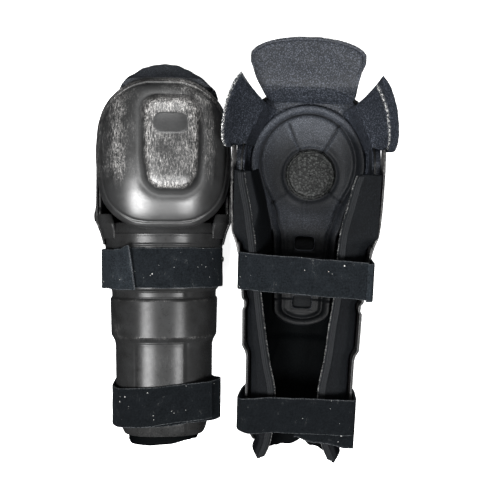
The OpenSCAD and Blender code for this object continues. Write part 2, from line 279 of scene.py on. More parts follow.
def stand_in(g, obj, slot_name, fill, *nodes):
    """Take the place of CAD nodes by hiding them. The slot name and the fill are not used."""
    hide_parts(*[g.body(n) for n in nodes])


def grid_faces(n, m, start=0, wrap=False):
    rows = np.arange(n if wrap else n - 1)
    i, j = grid(rows, np.arange(m - 1))
    a, b = start + i * m + j, start + ((i + 1) % n) * m + j
    return xyz(a, a + 1, b + 1, b).reshape(-1, 4)


def slab(top, bottom, round_r=1.0, steps=3):
    """Closed solid between two grids of points, with rounded edges."""
    n, m = top.shape[:2]
    ring = (
        [(0, j) for j in range(m)] + [(i, m - 1) for i in range(1, n)]
        + [(n - 1, j) for j in range(m - 2, -1, -1)] + [(i, 0) for i in range(n - 2, 0, -1)]
    )
    ri, rj = np.array([p[0] for p in ring]), np.array([p[1] for p in ring])
    ni, nj = np.clip(ri, 1, n - 2), np.clip(rj, 1, m - 2)
    t, b = top[ri, rj], bottom[ri, rj]
    across = t - b
    depth = np.linalg.norm(across, axis=1, keepdims=True)
    across = across / np.maximum(depth, 1e-6)
    inward = (top[ni, nj] - t + bottom[ni, nj] - b) / 2
    inward = inward - (inward * across).sum(1, keepdims=True) * across
    reach = np.linalg.norm(inward, axis=1, keepdims=True)
    inward = inward / np.maximum(reach, 1e-6)
    r = np.minimum(round_r, depth * 0.49)
    r_in = np.minimum(r, reach * 0.8)
    top, bottom = top.copy(), bottom.copy()
    rows = []
    for k in range(steps + 1):
        a = math.pi / 2 * (1 - k / steps)
        rows.append(t - across * r * (1 - math.sin(a)) + inward * r_in * (1 - math.cos(a)))
    for k in range(steps + 1):
        a = math.pi / 2 * k / steps
        rows.append(b + across * r * (1 - math.sin(a)) + inward * r_in * (1 - math.cos(a)))
    top[ri, rj], bottom[ri, rj] = rows[0], rows[-1]
    wall = rows[1:-1]
    count = len(ring)
    ids = [ri * m + rj] + [2 * n * m + k * count + np.arange(count) for k in range(len(wall))]
    ids.append(n * m + ri * m + rj)
    sides = [
        xyz(p, np.roll(p, -1), np.roll(q, -1), q) for p, q in zip(ids[:-1], ids[1:])
    ]
    faces = np.concatenate([grid_faces(n, m), grid_faces(n, m, n * m)[:, ::-1], *sides])
    verts = np.concatenate([top.reshape(-1, 3), bottom.reshape(-1, 3), *wall])
    return verts, faces


def slab_mask(top_mask, bottom_mask, steps=3):
    """Values for a slab's vertices from values for its two grids."""
    n, m = top_mask.shape
    ri = [0] * m + list(range(1, n)) + [n - 1] * (m - 1) + list(range(n - 2, 0, -1))
    rj = list(range(m)) + [m - 1] * (n - 1) + list(range(m - 2, -1, -1)) + [0] * (n - 2)
    edge = top_mask[ri, rj]
    return np.concatenate([top_mask.ravel(), bottom_mask.ravel(), np.tile(edge, 2 * steps)])


def mirrored(top, bottom, round_r):
    """A slab and its mirror image on the guard's other side."""
    return [slab(top * [s, 1, 1], bottom * [s, 1, 1], round_r) for s in (1, -1)]


def disc_grid(radii, turns, point):
    """Polar grid as vertices and faces. point gives x, y, z for a radius and an angle."""
    r, a = np.meshgrid(radii, np.linspace(0, 2 * math.pi, turns, endpoint=False))
    verts = np.stack(point(r, a), -1).reshape(-1, 3)
    return verts, grid_faces(turns, len(radii), wrap=True)


# ---- the guard's surfaces
def shin_dims(y, soft=1.2):
    return [linear(SHIN, y, c, soft) for c in (1, 2, 3)]


def section(dims, y, a, inset, spread):
    """Points of the C-shaped section, at angle a from one rear edge over the front."""
    half, front, rear = dims
    cos, sin = np.cos(np.radians(a)), np.maximum(np.sin(np.radians(a)), 0)
    c, s = np.sign(cos) * np.abs(cos) ** (2 / ROUNDNESS), sin ** (2 / ROUNDNESS)
    x = c * (half - inset) + np.sign(c) * spread * (1 - s)
    return np.stack(np.broadcast_arrays(x, y, mix(rear, front - inset, s)), -1)


def over_section(y, x, inset):
    half, front, rear = shin_dims(y)
    s = np.maximum(1 - (np.abs(x) / (half - inset)) ** ROUNDNESS, 0) ** (1 / ROUNDNESS)
    return mix(rear, front - inset, s)


def cap_w(y):
    return CAP_HALF_W * curve(CAP, y, 1)


def dome(y, x):
    """Outside height of the knee cap without its crown."""
    s = np.minimum(np.abs(x) / cap_w(y), 1)
    return mix(curve(CAP, y, 2), curve(CAP, y, 3), (1 - s**2.6) ** 0.45)


def pad_w(y):
    """Half width of the knee pad and its tongue, with round ends."""
    up, down = np.clip((y - 335) / 68, 0, 1), np.clip((166 - y) / 22, 0, 1)
    return curve(PAD, y, 1) * np.sqrt(1 - up**2) * np.sqrt(1 - down**2)


def crown_distance(y, x):
    """Distance outside the crown's rounded outline, negative inside."""
    taper = np.maximum(335 - y, 0) * 0.13
    qx = np.abs(x - CROWN_X) - (CROWN_HALF_W - taper) + CROWN_ROUND
    qy = np.abs(y - CROWN_Y) - CROWN_HALF_L + CROWN_ROUND
    outside = np.hypot(np.maximum(qx, 0), np.maximum(qy, 0))
    return outside + np.minimum(np.maximum(qx, qy), 0) - CROWN_ROUND


def ear_x(y, z, spread):
    rear, front = linear(EAR, y, 2, 2), linear(EAR, y, 3, 2)
    t = (z - rear) / (front - rear)
    return linear(EAR, y, 1, 4) + spread * (1 + 0.4 * (1 - t) * ramp(244, 300, y)) - 0.6 * t


def spaced(y0, y1, n, ends=0.0):
    """Places from y0 to y1, crowded towards the ends by a share."""
    t = np.linspace(0, 1, n)
    eased = (1 - np.cos(math.pi * t)) / 2
    return y0 + (y1 - y0) * mix(t, eased, ends)


def strip(y0, y1, n, m, ends=0.0):
    """Grid of n places along the guard by m shares from 0 to 1."""
    return grid(spaced(y0, y1, n, ends), np.linspace(0, 1, m))


SIDE_SHARES = np.sin(np.radians(np.linspace(-90, 90, 121)))


# ---- materials
class Look:
    """A material and short ways to add nodes to it."""

    def __init__(self, name, **shader):
        self.material = bpy.data.materials.new(name)
        self.material.use_nodes = True
        self.tree = self.material.node_tree
        self.shader = self.tree.nodes["Principled BSDF"]
        for key, value in shader.items():
            self.shader.inputs[key.replace("_", " ")].default_value = value
        self.place = self.add("Attribute", attribute_name="place").outputs["Vector"]

    def add(self, kind, inputs=(), **settings):
        node = self.tree.nodes.new("ShaderNode" + kind)
        for key, value in settings.items():
            setattr(node, key, value)
        for key, value in dict(inputs).items():
            if isinstance(value, bpy.types.NodeSocket):
                self.tree.links.new(value, node.inputs[key])
            else:
                node.inputs[key].default_value = value
        return node

    def link(self, value, socket):
        self.tree.links.new(value, self.shader.inputs[socket])

    def stretched(self, x, y, z):
        scaled = self.add("VectorMath", {0: self.place, 1: (x, y, z)}, operation="MULTIPLY")
        return scaled.outputs[0]

    def noise(self, scale, detail=3.0, rough=0.55, vector=None):
        at = self.place if vector is None else vector
        return self.add(
            "TexNoise", {"Vector": at, "Scale": scale, "Detail": detail, "Roughness": rough}
        ).outputs["Fac"]

    def cells(self, scale, feature="F1", vector=None):
        at = self.place if vector is None else vector
        return self.add("TexVoronoi", {"Vector": at, "Scale": scale}, feature=feature)

    def mask(self, name):
        return self.add("Attribute", attribute_name=name).outputs["Fac"]

    def range(self, value, a, b, c=0.0, d=1.0):
        """value mapped from a..b to c..d, clamped."""
        keys = {"Value": value, "From Min": a, "From Max": b, "To Min": c, "To Max": d}
        return self.add("MapRange", keys).outputs[0]

    def math(self, kind, a, b=0.0):
        return self.add("Math", {0: a, 1: b}, operation=kind).outputs[0]

    def times(self, a, b):
        return self.math("MULTIPLY", a, b)

    def plus(self, a, b):
        return self.math("ADD", a, b)

    def blend(self, factor, a, b):
        node = self.add("Mix", data_type="RGBA")
        for socket, value in ((node.inputs[0], factor), (node.inputs[6], a), (node.inputs[7], b)):
            if isinstance(value, bpy.types.NodeSocket):
                self.tree.links.new(value, socket)
            else:
                socket.default_value = value
        return node.outputs[2]

    def relief(self, *layers):
        """Bumps from (height, strength, distance in millimetres)."""
        normal = None
        for height, strength, distance in layers:
            inputs = {"Height": height, "Strength": strength, "Distance": distance * MM}
            if normal is not None:
                inputs["Normal"] = normal
            normal = self.add("Bump", inputs).outputs[0]
        self.link(normal, "Normal")


def grey(v, tint=0.0):
    return (v * (1 - tint), v, v * (1 + tint), 1)


def plastic(name, base, rough, scuffs, shine):
    """Moulded black plastic, scuffed where the wear mask says, partly as painted light on the knee
    cap and the ears, and matt where the dull mask does.
    """
    look = Look(name, IOR=1.5, Specular_IOR_Level=shine)
    blotch = look.noise(60, 4)
    fine = look.noise(900, 5, 0.7)
    streaks = look.noise(1, 6, 0.75, look.stretched(1100, 130, 500))
    pits = look.noise(1, 5, 0.8, look.stretched(700, 420, 600))
    wear = look.mask("wear")
    marks = look.plus(look.range(streaks, 0.46, 0.68), look.range(pits, 0.52, 0.7))
    worn = look.times(wear, marks)
    worn = look.times(worn, look.range(blotch, 0.35, 0.6, 0.35, 1.0))
    worn = look.range(worn, 0.05, 1.0, 0.0, scuffs)
    hair = look.noise(1, 3, 0.6, look.stretched(90, 2600, 400))
    scratch = look.times(look.range(hair, 0.66, 0.72), look.range(blotch, 0.5, 0.7))
    body = look.blend(look.range(blotch, 0.3, 0.75), grey(base * 0.8), grey(base * 1.3, 0.02))
    body = look.blend(look.times(scratch, 0.25), body, grey(0.16))
    look.link(look.blend(worn, body, grey(0.5, -0.03)), "Base Color")
    gloss = look.range(look.noise(220, 5, 0.7), 0.3, 0.7, rough - 0.03, rough + 0.05)
    gloss = look.plus(gloss, look.times(look.mask("dull"), 0.55))
    look.link(look.plus(gloss, look.times(worn, 0.3)), "Roughness")
    look.relief((fine, 0.12, 0.05), (streaks, look.times(wear, 0.35), 0.12))
    return look.material


def felt(name, tone):
    """Brushed elastic with lint on it."""
    look = Look(name, Roughness=0.95, Specular_IOR_Level=0.05, Sheen_Weight=0.03,
                Sheen_Roughness=0.5, Sheen_Tint=(0.35, 0.42, 0.5, 1))
    fibre = look.noise(620, 7, 0.85)
    patch = look.noise(70, 4)
    light = (0.011 * tone, 0.0135 * tone, 0.016 * tone, 1)
    body = look.blend(look.range(fibre, 0.4, 0.64), (0.0004, 0.0007, 0.001, 1), light)
    body = look.blend(look.range(patch, 0.45, 0.75, 0.0, 0.35), body, light)
    worn = look.times(look.mask("wear"), look.range(look.noise(900, 5, 0.8), 0.45, 0.6))
    body = look.blend(look.times(worn, 0.6), body, (0.09, 0.095, 0.1, 1))
    spots = look.cells(160)
    colour = look.add("SeparateColor", {0: spots.outputs["Color"]}).outputs
    picked = look.range(colour[0], 0.955, 0.96)
    size = look.range(spots.outputs["Distance"], 0.13, 0.09)
    hairs = look.noise(1, 2, 0.5, look.stretched(260, 60, 260))
    line = look.range(look.math("ABSOLUTE", look.math("SUBTRACT", hairs, 0.5)), 0.005, 0.001)
    thin = look.times(line, look.range(patch, 0.58, 0.68, 0, 0.16))
    dust = look.cells(430)
    colour = look.add("SeparateColor", {0: dust.outputs["Color"]}).outputs
    few = look.range(colour[1], 0.965, 0.97)
    few = look.times(few, look.range(dust.outputs["Distance"], 0.16, 0.1))
    lint = look.math("MAXIMUM", look.times(picked, size), thin)
    lint = look.math("MAXIMUM", lint, few)
    look.link(look.blend(lint, body, (0.55, 0.55, 0.53, 1)), "Base Color")
    look.relief((fibre, 0.6, 0.35), (patch, 0.4, 0.8))
    return look.material


def grained(name, dark, light, grain, depth, rough, shine):
    """Leather-like skin: cells of about 1000 / grain millimetres with creases between them."""
    look = Look(name, Specular_IOR_Level=shine)
    dark, light = (*dark, 1), (*light, 1)
    warp = look.noise(grain * 0.6, 3)
    warp = look.add("CombineXYZ", {0: warp, 1: warp, 2: warp}).outputs[0]
    small = {0: warp, 1: (0.8 / grain,) * 3}
    shift = look.add("VectorMath", small, operation="MULTIPLY").outputs[0]
    moved = look.add("VectorMath", {0: look.place, 1: shift}, operation="ADD").outputs[0]
    cells = look.cells(grain, "SMOOTH_F1", moved).outputs["Distance"]
    fine = look.noise(grain * 2.4, 5, 0.7)
    broad = look.noise(35, 3)
    tone = look.range(cells, 0.08, 0.42, 0.9, 0.0)
    tone = look.plus(tone, look.range(fine, 0.45, 0.7, 0, 0.4))
    body = look.blend(tone, dark, light)
    body = look.blend(look.range(broad, 0.4, 0.7, 0.0, 0.3), body, dark)
    # painted shade: the colour goes almost black where a piece's painted-shade mask is high
    body = look.blend(look.mask("painted_shade"), body, (0.0004, 0.0006, 0.0008, 1))
    worn = look.times(look.mask("wear"), look.range(look.noise(420, 6, 0.9), 0.52, 0.56))
    look.link(look.blend(worn, body, (0.85, 0.85, 0.83, 1)), "Base Color")
    look.link(look.range(fine, 0.3, 0.7, rough - 0.08, rough + 0.12), "Roughness")
    look.relief((look.math("SUBTRACT", 1.0, cells), depth, 0.5), (fine, 0.4, 0.2))
    return look.material


def metal():
    look = Look("dark_rivet", Metallic=1.0)
    tone = look.range(look.noise(900, 4), 0.3, 0.7)
    look.link(look.blend(tone, grey(0.12), grey(0.2)), "Base Color")
    look.link(look.range(look.noise(500, 4), 0.3, 0.7, 0.32, 0.5), "Roughness")
    look.relief((look.noise(1500, 4), 0.1, 0.05))
    return look.material


def hook_tape():
    look = Look("hook_tape", Roughness=0.8)
    dots = look.cells(1400).outputs["Distance"]
    look.link(look.blend(look.range(dots, 0.1, 0.5), grey(0.03), grey(0.006)), "Base Color")
    return look.material


SHELL = plastic("shell_plastic", 0.011, 0.28, 0.45, 0.12)
CUP = plastic("cup_plastic", 0.005, 0.38, 0.5, 0.3)
FACE = plastic("cap_plastic", 0.012, 0.35, 0.9, 0.5)
FELT = felt("elastic_felt", 0.75)
# darker copy of the strap felt, for the lower straps and their ends: painted shade towards the
# ankle end
PAINTED_SHADE_FELT = felt("elastic_felt_painted_shade", 0.38)
PALE_FELT = felt("elastic_felt_pale", 1.5)
FLAP_SKIN = grained(
    "flap_leather", (0.003, 0.004, 0.0055), (0.055, 0.061, 0.077), 680, 0.6, 0.5, 0.16
)
FLAP_BACK = grained(
    "flap_back", (0.012, 0.0135, 0.016), (0.085, 0.093, 0.108), 900, 0.4, 0.55, 0.2
)
PAD_SKIN = grained(
    "pad_foam", (0.012, 0.0135, 0.0165), (0.085, 0.093, 0.11), 1000, 0.5, 0.5, 0.1
)
DISC_SKIN = grained(
    "grained_disc", (0.0002, 0.0003, 0.0003), (0.034, 0.036, 0.034), 430, 0.7, 0.42, 0.1
)
LINER_SKIN = grained(
    "liner_foam", (0.0002, 0.0004, 0.0005), (0.001, 0.0013, 0.0016), 900, 0.6, 0.7, 0.02
)
CLOTH = grained(
    "pad_cloth", (0.0008, 0.001, 0.0013), (0.0075, 0.0088, 0.0105), 1300, 0.5, 0.7, 0.05
)
TAPE = grained(
    "binding_tape", (0.003, 0.0034, 0.004), (0.014, 0.0155, 0.0175), 1700, 0.6, 0.65, 0.1
)
WEB = grained(
    "webbing", (0.002, 0.0023, 0.0026), (0.009, 0.0098, 0.011), 1600, 0.6, 0.7, 0.06
)
RIVET = metal()
HOOK = hook_tape()


# ---- hard pieces
def shin_shell(g):
    y = np.unique(np.concatenate([spaced(19, 252, 130), np.arange(124, 137, 0.8),
                                  np.arange(174, 191, 0.7), np.arange(236, 243, 0.7)]))
    a = 90 * (1 - np.cos(np.linspace(0, math.pi, 141)))
    y, a = grid(y, a)
    dims = shin_dims(y, 1.0)
    top, under = section(dims, y, a, 0, g.spread), section(dims, y, a, SHELL_T, g.spread)
    # raised panel down the middle, below the step and in the strap recess
    rows = np.maximum(ramp(129, 126, y), ramp(178.5, 180, y) * ramp(186.5, 185, y))
    panel = ramp(28.6, 27.4, np.abs(top[..., 0] + 3)) * rows
    crease = bump(28.8, 0.8, np.abs(top[..., 0] + 3)) * rows
    front = ramp(30, 60, top[..., 2])
    top[..., 2] += (0.9 * panel - 0.5 * crease) * front
    top[..., 2] += 0.6 * bump(239, 1.4, y) * front
    notch = ramp(9, 7, np.abs(top[..., 0] + 2) + np.abs(y - 23.5) * 2.2) * front
    top[..., 2] -= 0.7 * notch
    wear = 0.02 + 0.12 * panel * ramp(128, 110, y) * front + 0.3 * bump(134, 2, y) * front
    wear += 0.35 * bump(150, 14, a) * bump(146, 9, y) + 0.25 * bump(176, 1.5, y) * front
    shell = slab(top, under, 0.9)
    masks = [slab_mask(wear, wear * 0)]
    y, a = grid(spaced(248, 264, 10), np.linspace(36, 144, 61))
    dims = [linear(BELL, y, c) for c in (1, 2, 3)]
    bell = slab(section(dims, y, a, 0, g.spread), section(dims, y, a, SHELL_T, g.spread), 0.9)
    masks.append(slab_mask(y * 0 + 0.08, y * 0))
    parts = [shell, bell]
    for group, group_masks in (ears(g), shoulders(g)):
        parts += group
        masks += group_masks
    obj = piece(g, "shin_shell", parts, SHELL, {"wear": np.concatenate(masks)})
    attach(obj, g.body("shin"))
    stand_in(g, obj, "shell_plastic", None, "shin_shell")


def ears(g):
    """The flat ears beside the knee, with their wear, painted highlights and a painted reflection.
    """
    y, t = strip(239, 358, 90, 41, 0.5)
    z = mix(linear(EAR, y, 2, 2), linear(EAR, y, 3, 2), t)
    x = ear_x(y, z, g.spread)
    boss = 1.1 * ramp(13, 8, np.hypot(y - PIVOT_Y, z - PIVOT_Z))
    rib = 0.4 * bump(0.5, 0.16, t) * ramp(285, 300, y) * ramp(348, 335, y)
    # Pale marks on the front and rear edges, heavier on the right guard: partly wear, partly
    # painted edge highlights. The pale band on the inner face near the top is partly wear, partly a
    # painted reflection.
    edges = np.maximum(ramp(0.12, 0, t), ramp(0.85, 1, t))
    worn = 0.5 if g.side == "right" else 0.12
    mask = slab_mask(0.05 + worn * edges, 0.05 + 0.8 * ramp(322, 345, y))
    return mirrored(xyz(x + boss + rib, y, z), xyz(x - SHELL_T, y, z), 0.9), [mask] * 2


def shoulders(g):
    """The shell's shoulders over the pivots, and their wear."""
    y, t = strip(246, 274, 24, 30)
    rows = [246, 255, 263, 274]
    xs = ([71, 73.5, 77, 77.4], [69.8, 72, 75.4, 75.6], [63.5, 65, 68, 68], [56, 56, 57, 61])
    zs = ([40, 42, 44, 46], [50, 54, 58.6, 58.2], [59.5, 62.5, 65, 62], [67.5, 69, 69.5, 61.5])
    px, pz = ([np.interp(y, rows, v) for v in group] for group in (xs, zs))
    w = [(1 - t) ** 3, 3 * t * (1 - t) ** 2, 3 * t**2 * (1 - t), t**3]
    x, z = (sum(a * b for a, b in zip(w, v)) for v in (px, pz))
    outer = xyz(x + g.spread * ramp(50, 72, x), y, z)
    drop = np.array([SHELL_T * 0.75, 0, SHELL_T * 0.6])
    return mirrored(outer, outer - drop, 0.8), [slab_mask(0.06 + 0 * y, 0 * y)] * 2


def cap_outline():
    y = spaced(257, 424.6, 90, 0.8)
    return width_outline(y, cap_w(y))


def knee_cap(g):
    y = grid(spaced(257, 424.6, 200, 0.6), SIDE_SHARES)[0]
    x = SIDE_SHARES * cap_w(y)
    rim = from_outline(x, y, cap_outline())
    base = dome(y, x)
    away = crown_distance(y, x)
    climb = np.clip((4.5 - away) / 11, 0, 1)
    crown = CROWN_H * (1 - (1 - climb) ** 2) + 0.8 * ramp(-4, -16, away)
    valley = -1.2 * bump(4.5, 6, away) * ramp(262, 285, y) * ramp(405, 385, y)
    valley = valley * mix(1, 0.3, ramp(-8, -24, x) * ramp(298, 318, y))
    lip = 0.9 * ramp(6.4, 5.2, rim) * ramp(0, 2, rim) - 1.0 * bump(7.4, 1.1, rim)
    shoulder = 0.7 * bump(56 - 0.04 * np.abs(y - 345), 1.8, np.abs(x))
    shoulder *= ramp(295, 320, y) * ramp(400, 380, y)
    patch = ramp(-1.4, 0.2, np.hypot(np.maximum(np.abs(x - PATCH_X) - 8, 0), y - PATCH_Y) - 12)
    top = base + crown + valley + lip + shoulder - 0.45 * (1 - patch) * ramp(4.5, -5, away)
    crown_edge = ramp(1, -3, away) * (0.5 + 0.5 * ramp(-11, -3, away))
    wear = 0.8 * crown_edge * patch + 0.5 * ramp(362, 392, y) * ramp(6, 2, away) * patch
    # pale scuffs on the shoulders, heavier on the left: partly real scuffs, partly painted light
    # from the left
    wear += (0.5 * (x < 0) + 0.3 * (x > 0)) * bump(50, 7, np.abs(x)) * ramp(288, 325, y)
    wear += 0.3 * ramp(7, 2, rim) + 0.45 * ramp(388, 402, y) * ramp(-20, 30, x) + 0.04
    # faint pale marks on the left below the crown, where the left highlight lies: partly scuffs,
    # partly painted highlight
    wear += 0.12 * ramp(0, 12, away) * ramp(-15, -30, x) * ramp(285, 300, y)
    wear *= 1 - 0.7 * ramp(322, 300, y) * ramp(-3, 1, away)
    dull = bump(4.3, 2.6, away) * ramp(410, 395, y)
    surfaces = [xyz(x, y, z) for z in (top, base + crown * 0.9 - 2.8)]
    masks = {"wear": slab_mask(wear, wear * 0), "dull": slab_mask(dull, dull * 0)}
    obj = piece(g, "knee_cap", [slab(*surfaces, 1.0)], FACE, masks)
    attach(obj, g.body("cup"))
    stand_in(g, obj, "cap_plastic", None, "knee_cap")


def knee_cup(g):
    y = grid(spaced(271, 414, 90, 0.4), SIDE_SHARES)[0]
    x = SIDE_SHARES * (cap_w(y) - 2)
    z = dome(y, x)
    parts = [slab(xyz(x, y, z - 4.2), xyz(x, y, z - 6.6), 0.8)]
    wall_y, t = strip(306, 404, 60, 16)
    w = cap_w(wall_y)
    wall_z = mix(curve(CUP_EDGE, wall_y, 1), dome(wall_y, w - 2.4) - 4.4, t)
    lug_y, s = strip(261.2, 324, 60, 12)
    chord = np.sqrt(np.maximum(LUG_R**2 - (lug_y - PIVOT_Y) ** 2, 0))
    low = np.where(lug_y < PIVOT_Y, PIVOT_Z - chord, 34)
    high = np.where(lug_y < PIVOT_Y, PIVOT_Z + chord, np.maximum(PIVOT_Z + chord, 50))
    parts += mirrored(xyz(w - 2.4, wall_y, wall_z), xyz(w - 4.6, wall_y, wall_z), 0.7)
    lug_z, flat = mix(low, high, s), 0 * s
    parts += mirrored(xyz(74.2 + flat, lug_y, lug_z), xyz(71.6 + flat, lug_y, lug_z), 0.7)
    count = sum(len(p[0]) for p in parts)
    obj = piece(g, "knee_cup", parts, CUP, {"wear": np.full(count, 0.2)})
    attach(obj, g.body("cup"))
    stand_in(g, obj, "cup_plastic", None, "knee_cup")


# ---- soft pieces
def soft(g, name, parts, material, body, slot_name, fill):
    obj = piece(g, name, parts, material)
    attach(obj, g.body(body))
    stand_in(g, obj, slot_name, fill, name)


def shin_liner(g):
    y, a = grid(spaced(32, 241, 120), np.linspace(28, 152, 101))
    dims = shin_dims(y, 2.5)
    outer = section(dims, y, a, SHELL_T + 0.4, g.spread)
    puff = 0.7 * ripple(a / 40, y / 55, 1.0)
    edge = np.minimum(np.minimum(y - 32, 241 - y) / 6, np.minimum(a - 28, 152 - a) / 6)
    thick = LINER_T * mix(0.55, 1, ramp(0, 1, edge))
    inner = section(dims, y, a, SHELL_T + 0.4 + thick + puff * ramp(0, 2, edge), g.spread)
    soft(g, "shin_liner", [slab(outer, inner, 1.5)], LINER_SKIN, "shin", "liner_foam", 0.5)


def ankle_pad(g):
    rows = [(-4, 42, 47, 14), (2, 44, 52, 12), (17, 44.5, 55, 12)]
    t, a = grid(spaced(0, 1, 24), np.linspace(24, 156, 81))
    if g.side == "left":
        low = 8 + 6 * ramp(110, 40, a) + 0.8 * ripple(a / 70, 0 * a, 1.0)
    else:
        low = 3 + 9 * bump(96, 7, a) + 1.2 * ripple(a / 45, 0 * a, 2.0)
    low = low + 5 * ramp(38, 24, a) + 5 * ramp(142, 156, a)
    y = mix(low, 18.2, t)
    dims = [curve(rows, y, c) for c in (1, 2, 3)]
    wave = 0.6 * ripple(a / 50, y / 30, 2.0)
    outer = section(dims, y, a, 0.3 - 0.3 * wave, 0)
    inner = section(dims, y, a, LINER_T - 0.4 + 0.4 * wave, 0)
    soft(g, "ankle_pad", [slab(outer, inner, 2.6, 5)], LINER_SKIN, "shin", "liner_foam", 0.5)


def pad_profile(y, t, s, spread):
    """Middle line of a side pad across its width, at t from the shell to the bound edge."""
    dims = shin_dims(np.minimum(y, 250), 3)
    upper, side = (section(dims, y, a, SHELL_T + 1, spread) for a in (21, 7))
    top = ramp(246, 264, y)
    edge_x, edge_z = curve(PAD_EDGE[s], y, 1), curve(PAD_EDGE[s], y, 2)
    side_x = mix(side[..., 0] + 8 * ramp(26, 6, y), 76.2 + spread, top)
    root_x = mix(upper[..., 0] + 5 * ramp(26, 6, y), 76 + spread, top)
    xs = [root_x, side_x, mix(side_x, edge_x, 0.35), edge_x]
    root_z, side_z = mix(upper[..., 2], 5, top), mix(side[..., 2], 4.9, top)
    zs = [root_z, side_z, mix(11, 4.7, top) + 0 * y, edge_z]
    stops = [(0, 0.3), (0.3, 0.3), (0.62, 0.32), (1, 0.38)]
    weights = [bump(k, 0.62 * w, t) for k, w in stops]
    total = sum(weights)
    x = sum(w * v for w, v in zip(weights, xs)) / total
    # both guards' pads narrow to a blunt tip below the shell
    tip = np.sqrt(np.clip(1 - (np.maximum(20 - y, 0) / 22.5) ** 2, 0.12, 1))
    return 42 + (x - 42) * tip, sum(w * v for w, v in zip(weights, zs)) / total


def side_pad(g, name, s):
    y, t = strip(PAD_END[g.side], 332, 170, 45)
    x, z = pad_profile(y, t, s, g.spread)
    puff = 0.6 * ripple(y / 80, t * 1.5, 3.0 + s) * ramp(260, 240, y)
    lean = np.maximum(ramp(0.1, 0.45, t), ramp(248, 262, y))
    thick = 5 * (0.7 + 0.3 * ramp(0, 0.15, t))
    outer = xyz(s * x, y, z - 4.2 * lean)
    inner = xyz(s * (x - mix(thick, 0.6, lean)), y, z + lean * 1.2 + puff * lean)
    parts = [slab(inner, outer, 1.6)]
    if s > 0:
        # lining between the bound edge and the knee pad
        y, t = strip(236, 331, 60, 20)
        near = curve(PAD_EDGE[s], y, 1) - 2
        far = np.interp(y, [236, 264, 297, 331], [38, 39, 46, 56])
        high = ramp(262, 292, y)
        z = 4.2 + 42 * np.clip((t - 0.5 * high) / (1 - 0.5 * high), 0, 1) ** mix(1.6, 1.9, high)
        x = mix(near, far, t)
        parts.append(slab(xyz(s * x, y, z + 2.2), xyz(s * x, y, z - 0.8), 1.0))
    soft(g, name, parts, CLOTH, "shin", "pad_fabric", 0.5)


def side_binding(g, name, s):
    """Tape around a side pad's bound edge, with three ribs along it."""
    y = spaced(PAD_END[g.side] + 2, 330, 200)
    yy, tt = grid(y, np.linspace(0, 1, 41))
    x, z = pad_profile(yy, np.ones_like(yy), s, g.spread)
    ribs = 0.5 * np.abs(np.sin(math.pi * 3 * np.clip(tt * 1.25, 0, 1)))
    wave = 0.5 * ripple(yy / 90, 0 * tt, 4.0 + s) * ramp(260, 240, yy)
    low = xyz(s * (x + 4.5 - 9.2 * tt), yy, z - 4.7 - ribs + 4.2 * tt**3 + wave)
    high = xyz(s * (x + 3.5 - 8 * tt), yy, z + 1.9 - 0.6 * tt + wave)
    wear = slab_mask(0.25 * ramp(0.8, 0.95, tt), 0 * tt)
    obj = piece(g, name, [slab(low, high, 1.2)], TAPE, {"wear": wear})
    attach(obj, g.body("shin"))
    stand_in(g, obj, "binding_tape", None, name)


def cup_liner(g):
    y = grid(spaced(276, 416, 90, 0.4), SIDE_SHARES)[0]
    x = SIDE_SHARES * (cap_w(y) - 7)
    z = dome(y, x)
    puff = 0.4 * ripple(x / 30, y / 30, 5.0)
    parts = [slab(xyz(x, y, z - 8), xyz(x, y, z - 11 - puff), 1.3)]
    y, t = strip(302, 404, 60, 16)
    w = cap_w(y)
    z = mix(curve(CUP_EDGE, y, 1) + 0.6, dome(y, w - 6.5) - 7.5, t)
    parts += mirrored(xyz(w - 7, y, z), xyz(w - 4.9, y, z), 0.9)
    # flaps of lining that close the gap to the ears
    y, t = strip(314, 366, 40, 12)
    z = curve(CUP_EDGE, y, 1) + 1.2 + 1.5 * t * ramp(345, 330, y)
    x = mix(cap_w(y) - 6, ear_x(y, 12.0, g.spread) - SHELL_T - 1.4, t)
    parts += mirrored(xyz(x, y, z + 1.9), xyz(x, y, z), 0.8)
    soft(g, "cup_liner", parts, FLAP_SKIN, "cup", "flap_leather", 0.4)


def pad_surface(y, x):
    """Front face of the knee pad and its tongue."""
    return mix(over_section(y, x, SHELL_T + LINER_T + 3.8), dome(y, x) - 11.6, ramp(252, 288, y))


